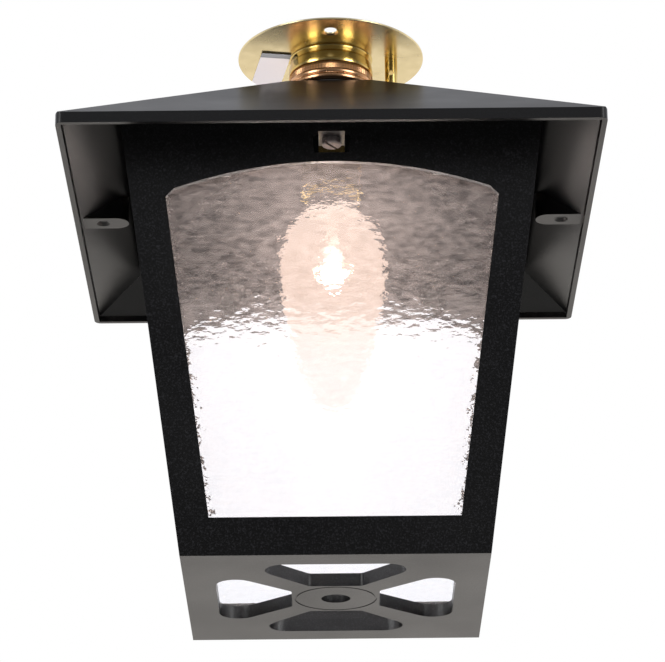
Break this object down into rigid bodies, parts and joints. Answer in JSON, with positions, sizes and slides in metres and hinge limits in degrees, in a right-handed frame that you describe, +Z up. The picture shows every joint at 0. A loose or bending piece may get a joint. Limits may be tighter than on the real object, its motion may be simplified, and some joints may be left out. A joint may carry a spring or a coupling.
{
  "type": "porch ceiling lantern",
  "caption": "Square tapered cast lantern with a pyramid roof, rippled glass sides and an open cross base, hung from a brass bayonet lampholder on a ceiling disc.",
  "frame": {"origin": "middle of the ceiling disc's top face, on the ceiling", "axes": "+Z up into the ceiling, -Y to the front side that the picture shows, +X to the viewer's right"},
  "size_m": [0.22, 0.22, 0.2459],
  "materials": {
    "polished_brass": "polished and lacquered yellow brass",
    "brass_screws": "turned brass, bright",
    "rose_brass": "polished copper-rich brass with fine straight knurling",
    "zinc_steel": "bright zinc plated",
    "spring_steel": "plain spring steel",
    "white_porcelain": "glazed white",
    "black_rubber": "matt",
    "black_powder_coat": "black powder coat on cast aluminium, satin with a fine speckle",
    "rippled_glass": "clear cathedral glass with fine level ripples",
    "nickelled_brass": "nickel plated",
    "black_vitrite": "black vitrite insulator",
    "solder": "soft solder",
    "clear_lamp_glass": "clear blown glass",
    "nickel_wire": "drawn nickel wire",
    "lit_filament": "glowing tungsten coil"
  },
  "bodies": {
    "holder": {"ceiling_disc": "polished_brass", "collar_screws": "brass_screws", "earth_pillar": "brass_screws", "earth_clamp_screw": "zinc_steel", "holder_collar": "polished_brass", "threaded_skirt": "polished_brass", "bayonet_barrel": "polished_brass", "holder_insulator": "white_porcelain", "terminal_blocks": "brass_screws", "terminal_screws": "zinc_steel", "plunger_springs": "spring_steel"},
    "plungers": {"contact_plungers": "brass_screws"},
    "lamp": {"lamp_cap": "nickelled_brass", "lamp_vitrite": "black_vitrite", "lamp_contacts": "solder", "lamp_glass": "clear_lamp_glass", "lamp_stem": "clear_lamp_glass", "lamp_wires": "nickel_wire", "lamp_filament": "lit_filament"},
    "upper_ring": {"upper_shade_ring": "rose_brass"},
    "lower_ring": {"lower_shade_ring": "rose_brass"},
    "roof_unit": {"roof": "black_powder_coat", "roof_gasket": "black_rubber", "roof_washer": "zinc_steel"},
    "body_unit": {"body_casting": "black_powder_coat", "body_screw_front": "zinc_steel", "body_screw_back": "zinc_steel", "pane_front": "rippled_glass", "pane_right": "rippled_glass", "pane_back": "rippled_glass", "pane_left": "rippled_glass", "glass_clips": "spring_steel", "glass_clip_screws": "zinc_steel"}
  },
  "joints": [
    {"name": "lantern_turn", "type": "hinge", "parent": "holder", "child": "roof_unit", "pos_m": [0, 0, -0.0187], "axis": [0, 0, 1], "continuous": true},
    {"name": "body_drop", "type": "slide", "parent": "roof_unit", "child": "body_unit", "axis": [0, 0, -1], "range_m": [0, 0.17]},
    {"name": "upper_ring_turn", "type": "hinge", "parent": "holder", "child": "upper_ring", "pos_m": [0, 0, -0.0092], "axis": [0, 0, 1], "continuous": true},
    {"name": "lower_ring_turn", "type": "hinge", "parent": "holder", "child": "lower_ring", "pos_m": [0, 0, -0.03], "axis": [0, 0, 1], "continuous": true},
    {"name": "lamp_push", "type": "slide", "parent": "holder", "child": "plungers", "axis": [0, 0, 1], "range_m": [0, 0.0015], "stiffness_N_per_m": 600, "springref_m": -0.003, "deforming": ["plunger_springs"]},
    {"name": "lamp_turn", "type": "hinge", "parent": "plungers", "child": "lamp", "pos_m": [0, 0, -0.0665], "axis": [0, 0, 1], "range_deg": [-17, 0]}
  ]
}
